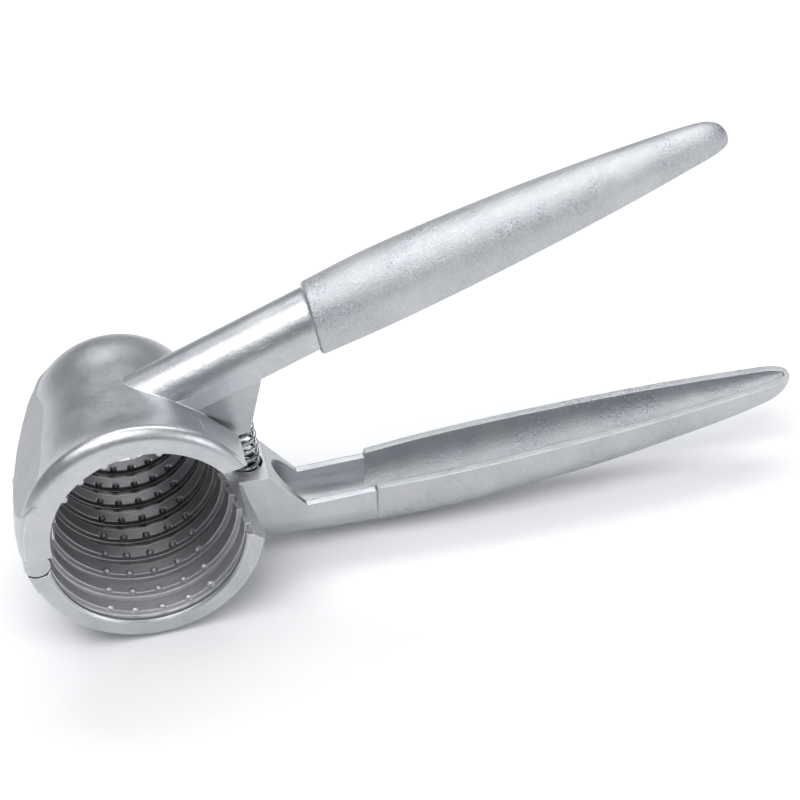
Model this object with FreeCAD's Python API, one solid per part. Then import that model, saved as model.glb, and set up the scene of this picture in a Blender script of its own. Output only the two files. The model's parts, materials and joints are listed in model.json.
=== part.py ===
import FreeCAD, Part
import math
import os

# Plier-type walnut cracker: two die-cast halves, a hinge pin and a return spring.
# Everything is drawn in the jaw frame, in millimetres: the bore runs along Y with its
# mouth towards -Y, the grips point along +X, and Z is up. Both halves are drawn closed.
# The upper half is then swung open, and the whole tool is set down on the table.

# Tooth ring: a tapering bore with raised bands and rows of small round teeth
MOUTH_Y = -3.6
BACK_Y = 41.4
MOUTH_R = 19.5
ROW_PITCH = 4.84
ROWS = 9
LOWER_BORE = (0.0, 19.8)
UPPER_BORE = (-3.1, 19.0)
UPPER_BORE_SHIFT = (0.85, -0.55)
BORE_TAPER = 0.1587
BAND_WIDTH = 2.5
GROOVE_DEPTH = 1.0
RIM_DEPTH = 1.3
TOOTH_R = 0.8
LOWER_TEETH_DEG = [-115.6, -100.4, -84.3, -67.8, -52.3]
UPPER_TEETH_DEG = [69.6, 84.5, 102.2, 119.4, 134.8]

# Outside of the two jaws, as (distance along the bore, radius)
HOOD_OUTLINE = [(-3.0, 23.2), (-1.6, 24.0), (0.4, 23.3), (3.0, 22.1), (9.0, 20.8), (20.0, 19.3), (31.0, 18.0),
                (39.5, 17.0), (BACK_Y, 16.2)]
CUP_OUTLINE = [(-2.6, 23.5), (3.0, 23.1), (20.0, 21.1), (BACK_Y, 18.4)]
SIDE_OUTLINE = [(-3.5, 23.3), (-2.6, 24.1), (-0.5, 24.5), (2.0, 24.6), (6.0, 24.4), (10.0, 24.1), (16.0, 23.3),
                (23.6, 22.0), (30.0, 20.5), (36.3, 18.8), (BACK_Y, 16.9)]
SIDE_STEPS = 5
# Plane that slopes from the hood down to the wider side wall at the hinge
CHEEK_POINT = (-17.1, 5.0, 13.2)
CHEEK_NORMAL = (-0.61, 0.125, 0.78)
CHEEK_RUN_IN = 0.3
LIP_R = 21.6
CUP_LIP_R = 22.8
LAND_Z = -1.0
LAND_EDGE_R = 20.8
LAND_EDGE_Z = -2.9
WING_Z = 8.4
WING_END_Y = 10.0
WING_TIP = (21.3, 1.7)
BLEND_SINK = 0.08

# Hinge: the pin runs along Y through one lower knuckle between two upper ones
HINGE_X = -21.8
HINGE_Z = -0.8
OPEN_DEG = 10.3
PIN_R = 1.25
PIN_RUNNING = 0.05
PIN_PRESS = 0.01
PIN_FRONT_Y = -1.5
FRONT_KNUCKLE_R = 2.6
KNUCKLE_R = 2.7
REAR_KNUCKLE_R = 2.2
FRONT_KNUCKLE_END = 2.6
REAR_KNUCKLE_START = 15.0
REAR_KNUCKLE_END = 24.0
GAP = 0.35

# Arm, neck and grips share one width and one middle plane
MID_Y = 19.4
ARM_HALF = 6.5
ARM_SLOPE = 0.232
ARM_TOP_AT_0 = 17.95
ARM_DEPTH = 9.8
WEB_Z = 1.2
WEB_HALF = 4.0
WEB_RIGHT = 25.2
WEB_TOP_RIGHT = 30.0
UPPER_GRIP = (43.0, 131.5)
UPPER_RIM = (16.95, 0.203)
LOWER_GRIP = (49.5, 142.0)
LOWER_RIM = (-7.75, 0.0975)
# Grip outline as (part of its length, half width, lower depth, upper depth)
GRIP_STATIONS = [
    (0.0, 6.95, 12.1, 12.0),
    (0.1, 7.5, 12.5, 12.2),
    (0.22, 7.8, 12.5, 12.0),
    (0.38, 7.65, 11.9, 11.2),
    (0.54, 7.1, 10.9, 10.1),
    (0.7, 6.15, 9.3, 8.6),
    (0.84, 4.9, 7.6, 7.1),
    (0.93, 3.9, 6.1, 5.9),
    (0.97, 3.2, 4.9, 4.8),
    (0.99, 2.3, 3.5, 3.4),
    (1.0, 1.2, 1.8, 1.8),
]
GRIP_WALL = 1.6
UPPER_GRIP_WALL = 2.1
LOWER_FLOOR = 3.2
UPPER_FLOOR = 4.4
HOLLOW_LEAST = 0.6
SHOULDER = 0.7
NECK_BOTTOM = -19.9
NECK_SLOPE_TOP = (27.4, LAND_Z)
NECK_SLOPE_FOOT = (34.8, -9.6)
NECK_HOLLOW_X = 33.6

# Return spring, seated in a round pocket in the lower jaw's land
SPRING_X = 23.4
SPRING_R = 2.6
WIRE_R = 0.45
SPRING_TURNS = 7.0
POCKET_R = 3.5
POCKET_DEPTH = 5.5
SEAT_STUD_R = 1.7
SEAT_STUD_LENGTH = 1.8

# How the tool lies on a table: tipped until the lower grip touches down
STAND_DEG = 3.3

Y_AXIS = FreeCAD.Vector(0, 1, 0)
HINGE = FreeCAD.Vector(HINGE_X, 0, HINGE_Z)


def vec(x, y, z):
    return FreeCAD.Vector(x, y, z)


def solid_of(shape):
    """The largest solid of a boolean result, cleaned of seams."""
    solids = sorted(shape.Solids, key=lambda s: s.Volume)
    return solids[-1].removeSplitter()


def prism_xz(points, y0, y1):
    """Extrude an outline drawn in the side view, from y0 to y1."""
    wire = Part.makePolygon([vec(x, y0, z) for x, z in points + points[:1]])
    return Part.Face(wire).extrude(vec(0, y1 - y0, 0))


def prism_yz(points, x0, x1):
    """Extrude an outline drawn in the end view, from x0 to x1."""
    wire = Part.makePolygon([vec(x0, y, z) for y, z in points + points[:1]])
    return Part.Face(wire).extrude(vec(x1 - x0, 0, 0))


def hinge_cylinder(radius, y0, y1):
    return Part.makeCylinder(radius, y1 - y0, vec(HINGE_X, y0, HINGE_Z), Y_AXIS)


def turned(edges):
    """Turn a closed outline, drawn as radius and Y, about the bore axis."""
    face = Part.Face(Part.Wire(Part.__sortEdges__(edges)))
    return face.revolve(vec(0, 0, 0), Y_AXIS, 360)


def band_radius(bore, y):
    """Radius of a jaw's bands at y; bore is (Y of its first band, radius there)."""
    return bore[1] - BORE_TAPER * (y - bore[0])


def shifted(shape):
    """Move a shape onto the upper jaw's own bore axis."""
    moved = shape.copy()
    moved.translate(vec(UPPER_BORE_SHIFT[0], 0, UPPER_BORE_SHIFT[1]))
    return moved


def bore_solid(bore, entry):
    """The space inside one jaw: its entry at the mouth, then bands and grooves narrowing to the back."""
    points = [(0, MOUTH_Y - 1), (entry[0][0], MOUTH_Y - 1)] + entry
    for row in range(ROWS):
        start = bore[0] + row * ROW_PITCH
        end = start + BAND_WIDTH
        next_start = start + ROW_PITCH
        points.append((band_radius(bore, start), start))
        points.append((band_radius(bore, end), end))
        if row < ROWS - 1:
            points.append((band_radius(bore, end) + GROOVE_DEPTH, end + 0.25))
            points.append((band_radius(bore, next_start) + GROOVE_DEPTH, next_start - 0.15))
    points += [(band_radius(bore, end), BACK_Y + 1), (0, BACK_Y + 1)]
    wire = Part.makePolygon([vec(r, y, 0) for r, y in points + points[:1]])
    return Part.Face(wire).revolve(vec(0, 0, 0), Y_AXIS, 360)


def lower_bore():
    """Lower jaw: a plane rim, then a groove, then the first band."""
    rim_end = MOUTH_Y + RIM_DEPTH
    groove_r = LOWER_BORE[1] + GROOVE_DEPTH
    return bore_solid(LOWER_BORE, [(MOUTH_R + 0.5, MOUTH_Y), (MOUTH_R, MOUTH_Y + 0.5), (MOUTH_R, rim_end),
                                   (groove_r, rim_end + 0.2), (groove_r, LOWER_BORE[0] - 0.1)])


def upper_bore():
    """Upper jaw: the first band lies right behind the lip."""
    return shifted(bore_solid(UPPER_BORE, [(UPPER_BORE[1] + 0.3, MOUTH_Y)]))


def teeth(bore, angles):
    """Round teeth standing on the front edge of every band."""
    balls = []
    for row in range(ROWS):
        y = bore[0] + row * ROW_PITCH + 0.35
        for degrees in angles:
            a = math.radians(degrees)
            r = band_radius(bore, y) - 0.02
            balls.append(Part.makeSphere(TOOTH_R, vec(r * math.cos(a), y, r * math.sin(a))))
    return balls


def jaw_body(outline, lip_r):
    """Solid of revolution whose outside follows the outline, with a flat front face."""
    curve = Part.BSplineCurve()
    curve.interpolate([vec(lip_r, MOUTH_Y, 0)] + [vec(r, y, 0) for y, r in outline])
    back = vec(outline[-1][1], BACK_Y, 0)
    corners = [back, vec(0, BACK_Y, 0), vec(0, MOUTH_Y, 0), vec(lip_r, MOUTH_Y, 0)]
    edges = [curve.toShape()]
    for start, end in zip(corners, corners[1:]):
        edges.append(Part.makeLine(start, end))
    return turned(edges)


def outline_radius(outline, y):
    """Straight-line reading of an outside radius."""
    for (y0, r0), (y1, r1) in zip(outline, outline[1:]):
        if y <= y1:
            return r0 + (r1 - r0) * (y - y0) / (y1 - y0)
    return outline[-1][1]


def tangent_points(r_jaw, centre, r_end, side):
    """Where the straight line touching the jaw and a smaller round end meets each of them."""
    cx, cz = centre
    distance = math.hypot(cx, cz)
    towards = math.atan2(cz, cx)
    swing = math.acos((r_jaw - r_end) / distance)
    a = towards + side * swing
    n = (math.cos(a), math.sin(a))
    return (r_jaw * n[0], r_jaw * n[1]), (cx + r_end * n[0], cz + r_end * n[1])


def lower_cheek():
    """Flat cheek that joins the lower jaw's round outside to the hinge tongue."""
    stops = [(MOUTH_Y, HINGE_X, FRONT_KNUCKLE_R), (3.0, HINGE_X, KNUCKLE_R), (REAR_KNUCKLE_START, HINGE_X, KNUCKLE_R),
             (REAR_KNUCKLE_END, -19.4, 2.0), (BACK_Y, 0.8 - CUP_OUTLINE[-1][1], 1.5)]
    wires = []
    for y, cx, r_end in stops:
        jaw_r = outline_radius(CUP_OUTLINE, y) - BLEND_SINK
        on_jaw, on_end = tangent_points(jaw_r, (cx, HINGE_Z), r_end, 1)
        inner = (0.8 * on_jaw[0], 0.8 * on_jaw[1])
        corners = [on_jaw, on_end, (cx, HINGE_Z), (0.8 * cx, HINGE_Z), inner]
        wires.append(Part.makePolygon([vec(x, y, z) for x, z in corners + corners[:1]]))
    return Part.makeLoft(wires, True, True)


def cheek_angle(radius, y):
    """Angle about the bore where the cheek plane cuts a circle of this radius at y."""
    nx, ny, nz = CHEEK_NORMAL
    px, py, pz = CHEEK_POINT
    reach = (nx * px + nz * pz - ny * (y - py)) / (radius * math.hypot(nx, nz))
    return math.atan2(-nx, nz) + math.pi - math.asin(min(1.0, reach))


def side_wall():
    """Wider wall of the upper jaw at the hinge, bounded above by the sloping cheek plane."""
    wires = []
    for y, wall_r in SIDE_OUTLINE:
        hood_r = outline_radius(HOOD_OUTLINE, y)
        crease = cheek_angle(hood_r, y)
        top = cheek_angle(wall_r, y)
        on_hood = (hood_r * math.cos(crease), hood_r * math.sin(crease))
        on_wall = (wall_r * math.cos(top), wall_r * math.sin(top))
        inner = [a + CHEEK_RUN_IN * (a - b) for a, b in zip(on_hood, on_wall)]
        corners = [inner]
        for step in range(SIDE_STEPS + 1):
            a = top + (math.pi - top) * step / SIDE_STEPS
            corners.append((wall_r * math.cos(a), wall_r * math.sin(a)))
        corners += [(-wall_r, HINGE_Z), (-0.8 * wall_r, HINGE_Z), (0.8 * inner[0], 0.8 * inner[1])]
        wires.append(Part.makePolygon([vec(x, y, z) for x, z in corners + corners[:1]]))
    return Part.makeLoft(wires, True, True)


def wing(outline):
    """Straight flare that carries the hood's open side out over the lower jaw."""
    wires = []
    for y in (MOUTH_Y + 1.2, 4.0, 13.5):
        jaw_r = outline_radius(outline, y) - BLEND_SINK
        on_jaw, on_end = tangent_points(jaw_r, (WING_TIP[0], 7.0 - 0.35 * y), WING_TIP[1], 1)
        bottom = (WING_TIP[0] + WING_TIP[1], 0.0)
        corners = [on_jaw, on_end, bottom, (16.0, 0.0), (0.8 * on_jaw[0], 0.8 * on_jaw[1])]
        wires.append(Part.makePolygon([vec(x, y, z) for x, z in corners + corners[:1]]))
    return Part.makeLoft(wires, True, True)


def trough_wire(x, rim_z, half, depth, direction):
    """U section across a grip; direction is -1 for a trough and +1 for a cap."""
    straight = max(depth - half, 0.05)
    turn_z = rim_z + direction * straight
    a = vec(x, MID_Y - half, rim_z)
    b = vec(x, MID_Y - half, turn_z)
    c = vec(x, MID_Y, turn_z + direction * (depth - straight))
    d = vec(x, MID_Y + half, turn_z)
    e = vec(x, MID_Y + half, rim_z)
    arc = Part.Arc(b, c, d).toShape()
    return Part.Wire([Part.makeLine(a, b), arc, Part.makeLine(d, e), Part.makeLine(e, a)])


def grip(span, rim, direction, inset=0.0, floor=0.0):
    """Tapering grip; with an inset and a floor it is the hollow inside it."""
    start, end = span
    wires = []
    for part, half, low_depth, high_depth in GRIP_STATIONS:
        hollow = inset > 0
        if hollow and half - inset < HOLLOW_LEAST:
            break
        x = start + part * (end - start)
        rim_z = rim[0] + rim[1] * (x - start)
        depth = low_depth if direction < 0 else high_depth
        if hollow:
            rim_z -= direction * 0.2
            depth += 0.2
        wires.append(trough_wire(x, rim_z, half - inset, max(depth - floor, half - inset), direction))
    return Part.makeLoft(wires, True, False)


def shouldered(shape, x):
    """Round the outer edge of a grip's end face at x."""
    edges = []
    for edge in shape.Edges:
        box = edge.BoundBox
        if abs(box.XMin - x) < 0.01 and abs(box.XMax - x) < 0.01:
            edges.append(edge)
    return shape.makeFillet(SHOULDER, edges)


def arm():
    """Half-round bar that grows out of the hood and carries the upper grip."""
    end = UPPER_GRIP[0] + 0.5
    wires = []
    for x in (-2.0, end):
        top = ARM_TOP_AT_0 + ARM_SLOPE * x
        wires.append(trough_wire(x, top - ARM_DEPTH, ARM_HALF, ARM_DEPTH, 1))
    return Part.makeLoft(wires, True, True)


def arm_hollow():
    """Channel under the arm, open downwards and running into the grip."""
    wires = []
    for x in (WEB_TOP_RIGHT + 2.0, UPPER_GRIP[0] + 1.5):
        top = ARM_TOP_AT_0 + ARM_SLOPE * x - UPPER_FLOOR
        wires.append(trough_wire(x, top - ARM_DEPTH, ARM_HALF - UPPER_GRIP_WALL, ARM_DEPTH, 1))
    return Part.makeLoft(wires, True, True)


def web():
    """Tapering block under the arm; its foot presses on the spring and is the closing stop."""
    def section(z, half):
        right = WEB_RIGHT + (WEB_TOP_RIGHT - WEB_RIGHT) * (z - WEB_Z) / (14.4 - WEB_Z)
        corners = [(10.0, -half), (right, -half), (right, half), (10.0, half)]
        return Part.makePolygon([vec(x, MID_Y + y, z) for x, y in corners + corners[:1]])
    return Part.makeLoft([section(WEB_Z, WEB_HALF), section(14.4, ARM_HALF), section(15.6, ARM_HALF)], True, True)


def upper_half():
    """Hood, arm, web and upper grip: one casting."""
    hood = jaw_body(HOOD_OUTLINE, LIP_R)
    below_left = Part.makeBox(45, 60, 40, vec(-40, -10, HINGE_Z + 1.2 - 40))
    below_right = prism_yz([(-8, WING_Z + 2.2), (WING_END_Y, WEB_Z), (50, WEB_Z), (50, -40), (-8, -40)], 5, 40)
    front = hinge_cylinder(FRONT_KNUCKLE_R, MOUTH_Y + 0.1, FRONT_KNUCKLE_END)
    rear = hinge_cylinder(REAR_KNUCKLE_R, REAR_KNUCKLE_START + GAP, REAR_KNUCKLE_END)
    body = hood.fuse(side_wall())
    body = body.fuse(wing(HOOD_OUTLINE))
    body = body.fuse([arm(), web()])
    body = body.cut([below_left, below_right])
    body = body.fuse([front, rear, shouldered(grip(UPPER_GRIP, UPPER_RIM, 1), UPPER_GRIP[0])])
    body = body.cut([upper_bore(), arm_hollow(), grip(UPPER_GRIP, UPPER_RIM, 1, UPPER_GRIP_WALL, UPPER_FLOOR)])
    body = body.cut(hinge_cylinder(KNUCKLE_R + GAP, FRONT_KNUCKLE_END, REAR_KNUCKLE_START + GAP))
    body = body.fuse([shifted(ball) for ball in teeth(UPPER_BORE, UPPER_TEETH_DEG)])
    stud = Part.makeCone(SEAT_STUD_R, SEAT_STUD_R - 0.5, SEAT_STUD_LENGTH, vec(SPRING_X + 0.6, MID_Y, WEB_Z + 0.1),
                         vec(0, 0, -1))
    body = body.fuse(stud)
    pin_hole = hinge_cylinder(PIN_R - PIN_PRESS, PIN_FRONT_Y, REAR_KNUCKLE_END + 12)
    return solid_of(body.cut(pin_hole))


def neck():
    """Round-bottomed bar from the lower jaw to the lower grip, with its sloping shoulder."""
    end = LOWER_GRIP[0] + 0.5
    wires = [trough_wire(x, LAND_Z, ARM_HALF, LAND_Z - NECK_BOTTOM, -1) for x in (8.0, end)]
    bar = Part.makeLoft(wires, True, True)
    rim_end_z = LOWER_RIM[0] - 0.7
    above = prism_xz([NECK_SLOPE_TOP, NECK_SLOPE_FOOT, (end + 1, rim_end_z), (end + 1, 10), (NECK_SLOPE_TOP[0], 10)],
                     0, 40)
    return bar.cut(above)


def neck_hollow():
    """Channel in the neck: round-ended at the jaw, open into the grip."""
    half = ARM_HALF - GRIP_WALL
    wires = [trough_wire(x, 0.0, half, -NECK_BOTTOM - LOWER_FLOOR, -1) for x in (NECK_HOLLOW_X, LOWER_GRIP[0] + 1.5)]
    run = Part.makeLoft(wires, True, True)
    depth = -NECK_BOTTOM - LOWER_FLOOR - half
    end = Part.makeCylinder(half, depth, vec(NECK_HOLLOW_X, MID_Y, -depth))
    ball = Part.makeSphere(half, vec(NECK_HOLLOW_X, MID_Y, -depth))
    return run.fuse([end, ball])


def lower_half():
    """Cup, neck and lower grip: one casting."""
    cup = jaw_body(CUP_OUTLINE, CUP_LIP_R)
    edge = [(LAND_EDGE_R, LAND_Z), (23.2, LAND_EDGE_Z), (26.0, LAND_EDGE_Z - 2.2), (60.0, 10.0), (-60.0, 10.0),
            (-26.0, LAND_EDGE_Z - 2.2), (-23.2, LAND_EDGE_Z), (-LAND_EDGE_R, LAND_Z)]
    cup = cup.cut(prism_xz(edge, MOUTH_Y - 1, BACK_Y + 1))
    tongue = hinge_cylinder(KNUCKLE_R, FRONT_KNUCKLE_END + GAP, REAR_KNUCKLE_START)
    body = cup.fuse([lower_cheek(), neck(), shouldered(grip(LOWER_GRIP, LOWER_RIM, -1), LOWER_GRIP[0])])
    above_left = Part.makeBox(60, 60, 20, vec(-45, -10, LAND_Z))
    body = body.cut([above_left.common(Part.makeBox(50, 60, 30, vec(-45, -10, -5))), neck_hollow(),
                     grip(LOWER_GRIP, LOWER_RIM, -1, GRIP_WALL, LOWER_FLOOR)])
    body = body.fuse(tongue).cut(lower_bore())
    body = body.cut([hinge_cylinder(FRONT_KNUCKLE_R + GAP, MOUTH_Y - 1, FRONT_KNUCKLE_END + GAP),
                     hinge_cylinder(REAR_KNUCKLE_R + GAP, REAR_KNUCKLE_START, REAR_KNUCKLE_END + 1)])
    body = body.fuse(teeth(LOWER_BORE, LOWER_TEETH_DEG))
    pocket = Part.makeCylinder(POCKET_R, POCKET_DEPTH + 5, vec(SPRING_X, MID_Y, LAND_Z - POCKET_DEPTH))
    pin_hole = hinge_cylinder(PIN_R + PIN_RUNNING, MOUTH_Y - 1, BACK_Y + 1)
    return solid_of(body.cut([pocket, pin_hole]))


def hinge_pin():
    """Plain steel pin, driven in from the back and hidden behind the front knuckle."""
    length = REAR_KNUCKLE_END - PIN_FRONT_Y - 0.4
    pin = Part.makeCylinder(PIN_R, length, vec(HINGE_X, PIN_FRONT_Y + 0.2, HINGE_Z), Y_AXIS)
    ends = [e for e in pin.Edges if e.Curve.TypeId == "Part::GeomCircle"]
    return pin.makeChamfer(0.25, ends)


def return_spring():
    """Round-wire compression spring at its open length."""
    foot = LAND_Z - POCKET_DEPTH + WIRE_R + 0.05
    open_height = spring_top() - foot
    helix = Part.makeHelix(open_height / SPRING_TURNS, open_height, SPRING_R)
    start = Part.makeCircle(WIRE_R, vec(SPRING_R, 0, 0), Y_AXIS)
    coil = Part.Wire(helix).makePipeShell([Part.Wire(start)], True, True)
    coil = Part.makeSolid(coil) if coil.ShapeType != "Solid" else coil
    coil.translate(vec(SPRING_X, MID_Y, foot))
    return coil


def spring_top():
    """Height of the last coil's centre under the opened web."""
    lift = math.radians(OPEN_DEG)
    reach = SPRING_X - SPRING_R - HINGE_X
    web_height = HINGE_Z + reach * math.sin(lift) + (WEB_Z - HINGE_Z) * math.cos(lift)
    return web_height - WIRE_R - GAP - 0.1


def place(shape, opened):
    """Open the upper half, then lay the tool on the table with its grip touching down."""
    if opened:
        shape.rotate(HINGE, Y_AXIS, -OPEN_DEG)
    shape.rotate(vec(0, 0, 0), Y_AXIS, STAND_DEG)
    return shape


def main():
    os.makedirs("parts", exist_ok=True)
    pieces = {
        "lower_half": place(lower_half(), False),
        "return_spring": place(return_spring(), False),
        "upper_half": place(upper_half(), True),
        "hinge_pin": place(hinge_pin(), True),
    }
    box = FreeCAD.BoundBox()
    for shape in pieces.values():
        box.add(shape.BoundBox)
    shift = vec(-box.Center.x, -box.Center.y, -box.ZMin)
    for name, shape in pieces.items():
        shape.translate(shift)
        shape.exportStep(f"parts/{name}.step")


main()
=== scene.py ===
import json
import math

import bpy
from mathutils import Matrix, Vector


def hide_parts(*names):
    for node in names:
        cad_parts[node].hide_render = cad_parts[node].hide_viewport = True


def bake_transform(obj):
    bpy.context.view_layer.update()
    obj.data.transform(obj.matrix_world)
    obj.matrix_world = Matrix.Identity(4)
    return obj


# Everything is in metres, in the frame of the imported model.
MM = 0.001

# The castings are drawn in a jaw frame: bore along Y, parting plane level. The lower half is
# tipped to lie on the table, and the upper half is opened about the hinge as well.
STAND_TILT = math.radians(3.3)
OPEN_ANGLE = math.radians(10.3)
HINGE_IN_JAW = Vector((-21.8, 16.0, -0.8)) * MM
BORE_TAPER = 0.1587
# Where each half's grip starts, and its bore: axis X, axis Z, band radius at the parting line
LOWER = {"grip": 49.5, "bore": (0.0, 0.0, 19.8)}
UPPER = {"grip": 43.0, "bore": (0.85, -0.55, 18.5)}

# Return spring: round wire, wound along an arc about the hinge
SPRING_REACH = 45.2 * MM
SPRING_RADIUS = 2.6 * MM
WIRE_RADIUS = 0.45 * MM
SPRING_FOOT_Z = -6.0 * MM
WEB_FOOT_Z = 1.2 * MM
SPRING_Y = 19.4 * MM
WIRE_SEAT = 1.15
COIL_LIFT = 2.1
WORKING_TURNS = 6.0
DEAD_TURNS = 0.9
STEPS_PER_TURN = 40
WIRE_SIDES = 12

# Camera and light
CAMERA_AZIMUTH = math.radians(-10.82)
CAMERA_ELEVATION = math.radians(37.58)
CAMERA_ROLL = math.radians(-4.39)
CAMERA_PLACE = Vector((-69.33, -352.46, 306.37)) * MM
CAMERA_LENS = 99.0
SENSOR_WIDTH = 36.0
FLOOR_SIZE = 6.0

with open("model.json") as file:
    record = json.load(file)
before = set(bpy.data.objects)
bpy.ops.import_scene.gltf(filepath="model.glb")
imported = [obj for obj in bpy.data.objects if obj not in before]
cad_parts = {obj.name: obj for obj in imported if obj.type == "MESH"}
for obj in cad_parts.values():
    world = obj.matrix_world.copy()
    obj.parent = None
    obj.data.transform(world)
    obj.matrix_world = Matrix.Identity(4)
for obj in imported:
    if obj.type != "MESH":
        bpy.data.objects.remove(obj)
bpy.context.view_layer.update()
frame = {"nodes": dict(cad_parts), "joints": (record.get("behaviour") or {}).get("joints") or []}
hinge = Vector(frame["joints"][0]["pos_m"])


# ---------------------------------------------------------------- node helpers

class Graph:
    """Short calls for building one material's nodes."""

    def __init__(self, name):
        self.material = bpy.data.materials.new(name)
        self.material.use_nodes = True
        self.tree = self.material.node_tree
        self.shader = self.tree.nodes["Principled BSDF"]

    def node(self, kind, **settings):
        made = self.tree.nodes.new(kind)
        for key, value in settings.items():
            setattr(made, key, value)
        return made

    def put(self, socket, value):
        if isinstance(value, bpy.types.NodeSocket):
            self.tree.links.new(value, socket)
        else:
            socket.default_value = value

    def math(self, operation, a, b=0.0, clamp=False):
        made = self.node("ShaderNodeMath", operation=operation, use_clamp=clamp)
        self.put(made.inputs[0], a)
        self.put(made.inputs[1], b)
        return made.outputs[0]

    def ramp(self, value, low, high, out_low=0.0, out_high=1.0):
        """Smooth step of a value from low to high."""
        made = self.node("ShaderNodeMapRange", interpolation_type="SMOOTHSTEP")
        for socket, item in zip(made.inputs, (value, low, high, out_low, out_high)):
            self.put(socket, item)
        return made.outputs[0]

    def noise(self, place, scale, detail=3.0, roughness=0.5, distortion=0.0):
        made = self.node("ShaderNodeTexNoise")
        self.put(made.inputs["Vector"], place)
        made.inputs["Scale"].default_value = scale
        made.inputs["Detail"].default_value = detail
        made.inputs["Roughness"].default_value = roughness
        made.inputs["Distortion"].default_value = distortion
        return made.outputs["Fac"]

    def mix(self, factor, a, b):
        made = self.node("ShaderNodeMix", data_type="RGBA")
        self.put(made.inputs["Factor"], factor)
        self.put(made.inputs[6], a)
        self.put(made.inputs[7], b)
        return made.outputs[2]

    def bump(self, height, depth_mm, normal=None, strength=1.0):
        made = self.node("ShaderNodeBump")
        made.inputs["Strength"].default_value = strength
        made.inputs["Distance"].default_value = depth_mm * MM
        self.put(made.inputs["Height"], height)
        if normal is not None:
            self.put(made.inputs["Normal"], normal)
        return made.outputs["Normal"]

    def jaw_place(self, tilt):
        """The shaded point in the jaw frame, in millimetres."""
        point = self.node("ShaderNodeTexCoord").outputs["Object"]
        turn = Matrix.Rotation(-tilt, 4, "Y")
        offset = HINGE_IN_JAW - turn @ hinge
        made = self.node("ShaderNodeMapping", vector_type="POINT")
        self.put(made.inputs["Vector"], point)
        made.inputs["Rotation"].default_value = (0.0, -tilt, 0.0)
        made.inputs["Location"].default_value = offset
        scaled = self.node("ShaderNodeVectorMath", operation="SCALE")
        self.put(scaled.inputs[0], made.outputs["Vector"])
        scaled.inputs["Scale"].default_value = 1.0 / MM
        return scaled.outputs["Vector"]

    def split(self, vector):
        made = self.node("ShaderNodeSeparateXYZ")
        self.put(made.inputs[0], vector)
        return made.outputs[0], made.outputs[1], made.outputs[2]

    def round_edges(self, radius_mm):
        made = self.node("ShaderNodeBevel", samples=6)
        made.inputs["Radius"].default_value = radius_mm * MM
        return made.outputs["Normal"]

    def edge_wear_and_highlight(self, rounded, low, high):
        """1 on sharp edges, where handling has rubbed the metal bright and where a painted highlight
        stands for the light the edges catch.
        """
        flat = self.node("ShaderNodeNewGeometry").outputs["Normal"]
        dot = self.node("ShaderNodeVectorMath", operation="DOT_PRODUCT")
        self.put(dot.inputs[0], rounded)
        self.put(dot.inputs[1], flat)
        return self.ramp(dot.outputs["Value"], high, low)


# ---------------------------------------------------------------- materials

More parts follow.
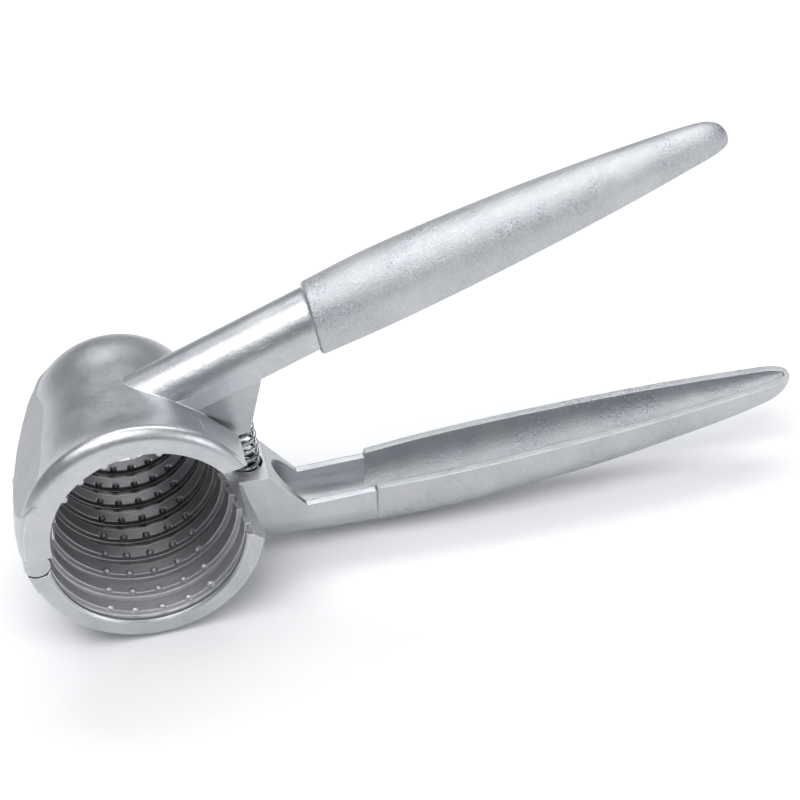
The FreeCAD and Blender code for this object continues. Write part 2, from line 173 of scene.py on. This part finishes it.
def cast_aluminium(name, tilt, half):
    """Bare die-cast aluminium: tumbled smooth on the jaws, fine cast grain on the grips."""
    g = Graph(name)
    place = g.jaw_place(tilt)
    x, y, z = g.split(place)

    # Where on the casting the point is
    axis_x, axis_z, band_radius = half["bore"]
    dx = g.math("SUBTRACT", x, axis_x)
    dz = g.math("SUBTRACT", z, axis_z)
    from_axis = g.math("SQRT", g.math("ADD", g.math("MULTIPLY", dx, dx), g.math("MULTIPLY", dz, dz)))
    band = g.math("SUBTRACT", band_radius, g.math("MULTIPLY", y, BORE_TAPER))
    in_bore = g.ramp(g.math("SUBTRACT", from_axis, band), 1.35, 1.05)
    in_bore = g.math("MULTIPLY", in_bore, g.ramp(y, -3.3, -2.0))
    depth = g.ramp(y, -6.0, 26.0)
    on_grip = g.ramp(x, half["grip"] - 0.6, half["grip"] + 0.4)

    # Colour: faintly blotchy oxide, small dark pits, pale grain flecks with painted glints on the grips,
    # and a bore of darker unpolished skin with painted shade deepening inwards and painted light at its
    # mouth
    blotch = g.noise(place, 0.10, 3.0, 0.55)
    cloud = g.noise(place, 0.9, 3.0, 0.5)
    grain = g.noise(place, 1.7, 4.0, 0.7)
    pits = g.ramp(g.noise(place, 2.6, 2.0, 0.4), 0.72, 0.78)
    tint = g.mix(g.ramp(blotch, 0.3, 0.7), (0.47, 0.48, 0.505, 1.0), (0.56, 0.565, 0.585, 1.0))
    tint = g.mix(g.math("MULTIPLY", g.ramp(cloud, 0.5, 0.75), 0.20), tint, (0.70, 0.71, 0.72, 1.0))
    # Grips: pale flecks of cast grain, partly painted glints where the grain sparkles
    grain_fleck_and_glint = g.math("MULTIPLY", g.ramp(grain, 0.50, 0.66), on_grip)
    tint = g.mix(g.math("MULTIPLY", grain_fleck_and_glint, 0.22), tint, (0.78, 0.79, 0.80, 1.0))
    tint = g.mix(g.math("MULTIPLY", pits, 0.40), tint, (0.14, 0.145, 0.15, 1.0))
    # Bore colour: darker unpolished skin plus painted shade, lighter at the mouth as painted light and
    # near black at the back as painted shade
    dark = g.mix(depth, (0.78, 0.78, 0.79, 1.0), (0.15, 0.15, 0.154, 1.0))
    tint = g.mix(g.math("MULTIPLY", in_bore, 0.94), tint, dark)

    rounded = g.round_edges(0.35)
    # Sharp edges: real wear rubbed bright plus a painted highlight in a lighter colour, a little weaker in
    # the bore
    edge_wear_and_glint = g.edge_wear_and_highlight(rounded, 0.90, 0.985)
    wear_and_highlight_strength = g.math("MULTIPLY", edge_wear_and_glint, g.math("SUBTRACT", 0.75, g.math("MULTIPLY", in_bore, 0.15)))
    tint = g.mix(wear_and_highlight_strength, tint, (0.88, 0.89, 0.90, 1.0))
    g.put(g.shader.inputs["Base Color"], tint)

    # Finish
    g.shader.inputs["Metallic"].default_value = 1.0
    satin = g.ramp(blotch, 0.3, 0.7, 0.27, 0.34)
    rough = g.math("SUBTRACT", satin, g.math("MULTIPLY", on_grip, 0.05))
    rough = g.math("ADD", rough, g.math("MULTIPLY", grain, 0.10))
    rough = g.math("ADD", rough, g.math("MULTIPLY", in_bore, 0.14))
    g.put(g.shader.inputs["Roughness"], rough)

    # Relief: slow waviness everywhere, grain on the grips, pits and fine scratches on the jaws
    wave = g.bump(g.noise(place, 0.14, 2.0, 0.4), 0.16, rounded, 0.4)
    coarse = g.math("ADD", g.math("MULTIPLY", on_grip, 0.80), 0.20)
    peel = g.bump(g.math("MULTIPLY", grain, coarse), 0.26, wave)
    stretched = g.node("ShaderNodeMapping")
    g.put(stretched.inputs["Vector"], place)
    stretched.inputs["Scale"].default_value = (0.25, 2.6, 2.6)
    stretched.inputs["Rotation"].default_value = (0.3, 0.5, 0.4)
    scratch = g.ramp(g.noise(stretched.outputs["Vector"], 2.2, 2.0, 0.4), 0.64, 0.74)
    scratch = g.math("MULTIPLY", scratch, g.math("SUBTRACT", 1.0, g.math("MULTIPLY", on_grip, 0.85)))
    marks = g.math("ADD", scratch, g.math("MULTIPLY", pits, 2.0))
    g.put(g.shader.inputs["Normal"], g.bump(marks, -0.02, peel))
    return g.material


def drawn_steel(name, dark, bright, rough):
    """Drawn spring or pin wire: fine streaks in the roughness and relief, and a faint oil stain."""
    g = Graph(name)
    place = g.node("ShaderNodeTexCoord").outputs["Object"]
    streak = g.noise(place, 900.0, 3.0, 0.6)
    stain = g.noise(place, 260.0, 2.0, 0.5)
    tint = g.mix(g.ramp(stain, 0.35, 0.7), dark, bright)
    g.put(g.shader.inputs["Base Color"], tint)
    g.shader.inputs["Metallic"].default_value = 1.0
    g.put(g.shader.inputs["Roughness"], g.ramp(streak, 0.3, 0.7, rough - 0.06, rough + 0.08))
    g.put(g.shader.inputs["Normal"], g.bump(streak, 0.02))
    return g.material


def floor_paper():
    g = Graph("floor_paper")
    place = g.node("ShaderNodeTexCoord").outputs["Object"]
    fibre = g.noise(place, 400.0, 3.0, 0.6)
    g.put(g.shader.inputs["Base Color"], g.mix(fibre, (0.90, 0.90, 0.90, 1.0), (0.93, 0.93, 0.93, 1.0)))
    g.shader.inputs["Roughness"].default_value = 0.9
    return g.material


def give(obj, material):
    obj.data.materials.clear()
    obj.data.materials.append(material)


# ---------------------------------------------------------------- spring

def from_jaw(point):
    """A point of the closed jaw frame, placed in the row frame with the lower half."""
    return hinge + Matrix.Rotation(STAND_TILT, 3, "Y") @ (point - HINGE_IN_JAW)


def spring_path():
    """Centre line of the wire, with closed end coils, along an arc about the hinge."""
    low = math.atan2(SPRING_FOOT_Z - HINGE_IN_JAW.z, SPRING_REACH)
    high = OPEN_ANGLE + math.atan2(WEB_FOOT_Z - HINGE_IN_JAW.z - WIRE_SEAT * WIRE_RADIUS, SPRING_REACH)
    length = (high - low) * SPRING_REACH
    dead_rise = DEAD_TURNS * COIL_LIFT * WIRE_RADIUS
    turns = WORKING_TURNS + 2 * DEAD_TURNS
    points = []
    count = int(turns * STEPS_PER_TURN)
    for i in range(count + 1):
        turn = i / STEPS_PER_TURN
        if turn < DEAD_TURNS:
            rise = dead_rise * turn / DEAD_TURNS
        elif turn > turns - DEAD_TURNS:
            rise = length - dead_rise * (turns - turn) / DEAD_TURNS
        else:
            rise = dead_rise + (length - 2 * dead_rise) * (turn - DEAD_TURNS) / WORKING_TURNS
        swing = low + rise / SPRING_REACH
        round_coil = 2 * math.pi * turn
        out = SPRING_REACH + SPRING_RADIUS * math.cos(round_coil)
        y = SPRING_Y + SPRING_RADIUS * math.sin(round_coil)
        place = Vector((HINGE_IN_JAW.x + out * math.cos(swing), y, HINGE_IN_JAW.z + out * math.sin(swing)))
        points.append(from_jaw(place))
    return points


def tube(name, points, radius, sides):
    """Round wire along points, with ground flat ends."""
    vertices = []
    faces = []
    side = Vector((0.0, 1.0, 0.0))
    for i, point in enumerate(points):
        ahead = (points[min(i + 1, len(points) - 1)] - points[max(i - 1, 0)]).normalized()
        side = (side - ahead * side.dot(ahead)).normalized()
        other = ahead.cross(side)
        for k in range(sides):
            a = 2 * math.pi * k / sides
            vertices.append(point + radius * (math.cos(a) * side + math.sin(a) * other))
    for i in range(len(points) - 1):
        for k in range(sides):
            n = (k + 1) % sides
            faces.append((i * sides + k, i * sides + n, (i + 1) * sides + n, (i + 1) * sides + k))
    last = (len(points) - 1) * sides
    faces.append(tuple(reversed(range(sides))))
    faces.append(tuple(range(last, last + sides)))
    mesh = bpy.data.meshes.new(name)
    mesh.from_pydata(vertices, [], faces)
    mesh.shade_smooth()
    made = bpy.data.objects.new(name, mesh)
    bpy.context.scene.collection.objects.link(made)
    return made


def build_spring():
    path = spring_path()
    spring = tube("spring_coil", path, WIRE_RADIUS, WIRE_SIDES)
    wire_steel = drawn_steel("spring_wire", (0.20, 0.205, 0.21, 1.0), (0.46, 0.47, 0.48, 1.0), 0.22)
    give(spring, wire_steel)
    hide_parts("return_spring")
    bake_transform(spring)
    return spring


# ---------------------------------------------------------------- floor, light, camera

def build_floor():
    mesh = bpy.data.meshes.new("floor")
    h = FLOOR_SIZE / 2
    mesh.from_pydata([(-h, -h, 0), (h, -h, 0), (h, h, 0), (-h, h, 0)], [], [(0, 1, 2, 3)])
    floor = bpy.data.objects.new("floor", mesh)
    bpy.context.scene.collection.objects.link(floor)
    give(floor, floor_paper())


def softbox(name, place, aim, size, power):
    light = bpy.data.lights.new(name, "AREA")
    light.shape = "RECTANGLE"
    light.size = size[0]
    light.size_y = size[1]
    light.energy = power
    made = bpy.data.objects.new(name, light)
    made.location = place
    made.rotation_euler = (Vector(aim) - Vector(place)).to_track_quat("-Z", "Y").to_euler()
    bpy.context.scene.collection.objects.link(made)


def build_lights():
    world = bpy.data.worlds.new("studio")
    world.use_nodes = True
    world.node_tree.nodes["Background"].inputs["Color"].default_value = (0.90, 0.94, 1.0, 1.0)
    world.node_tree.nodes["Background"].inputs["Strength"].default_value = 0.33
    bpy.context.scene.world = world
    bpy.context.scene.view_settings.view_transform = "Standard"
    middle = (0.0, 0.0, 0.04)
    softbox("key", (-0.25, -0.20, 0.80), middle, (0.90, 0.55), 5.4)
    softbox("fill", (0.65, -0.50, 0.40), middle, (0.50, 0.35), 1.8)
    softbox("top", (0.15, 0.50, 0.75), middle, (1.10, 0.35), 4.3)


def build_camera():
    data = bpy.data.cameras.new("photo_view")
    data.lens = CAMERA_LENS
    data.sensor_width = SENSOR_WIDTH
    data.clip_start = 0.01
    camera = bpy.data.objects.new("photo_view", data)
    turn = Matrix.Rotation(CAMERA_AZIMUTH, 4, "Z")
    turn = turn @ Matrix.Rotation(math.pi / 2 - CAMERA_ELEVATION, 4, "X")
    turn = turn @ Matrix.Rotation(CAMERA_ROLL, 4, "Z")
    camera.matrix_world = Matrix.Translation(CAMERA_PLACE) @ turn
    bpy.context.scene.collection.objects.link(camera)
    bpy.context.scene.camera = camera


build_camera()
build_lights()
build_floor()
give(frame["nodes"]["lower_half"], cast_aluminium("lower_cast", STAND_TILT, LOWER))
give(frame["nodes"]["upper_half"], cast_aluminium("upper_cast", STAND_TILT - OPEN_ANGLE, UPPER))
pin_steel = drawn_steel("pin_wire", (0.40, 0.41, 0.42, 1.0), (0.60, 0.61, 0.62, 1.0), 0.32)
give(frame["nodes"]["hinge_pin"], pin_steel)
build_spring()

bpy.context.view_layer.update()
